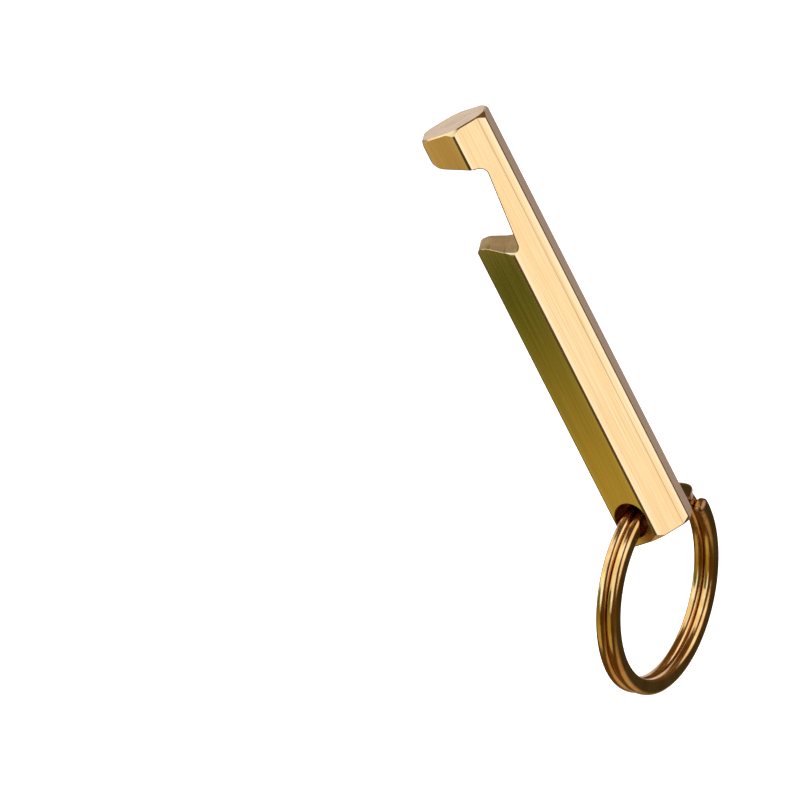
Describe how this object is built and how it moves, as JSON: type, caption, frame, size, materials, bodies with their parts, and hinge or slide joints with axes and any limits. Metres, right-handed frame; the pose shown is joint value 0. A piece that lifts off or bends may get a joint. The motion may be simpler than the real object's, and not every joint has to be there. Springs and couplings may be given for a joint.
{
  "type": "keychain bottle opener",
  "caption": "Keychain bottle opener: a hexagonal brass bar with a claw notch that levers off crown caps and a split ring through its cross hole.",
  "frame": {"origin": "centre of the bar's ring-end face", "axes": "+Z along the bar towards the notch end; the notch opens towards -X; +X is the normal of the flat opposite the notch; the cross hole runs through the two flats at 60 degrees from +X"},
  "size_m": [0.017, 0.023, 0.0711],
  "materials": {
    "bar_brass": "satin, drawn lengthwise",
    "ring_brass": "polished, darkened"
  },
  "bodies": {
    "bar": {"opener_bar": "bar_brass"},
    "ring": {"split_ring": "ring_brass"}
  },
  "joints": [
    {"name": "ring_swing", "type": "hinge", "parent": "bar", "child": "ring", "pos_m": [0, 0, 0.0031], "axis": [0.5, 0.866, 0], "range_deg": [-180, 130]}
  ]
}
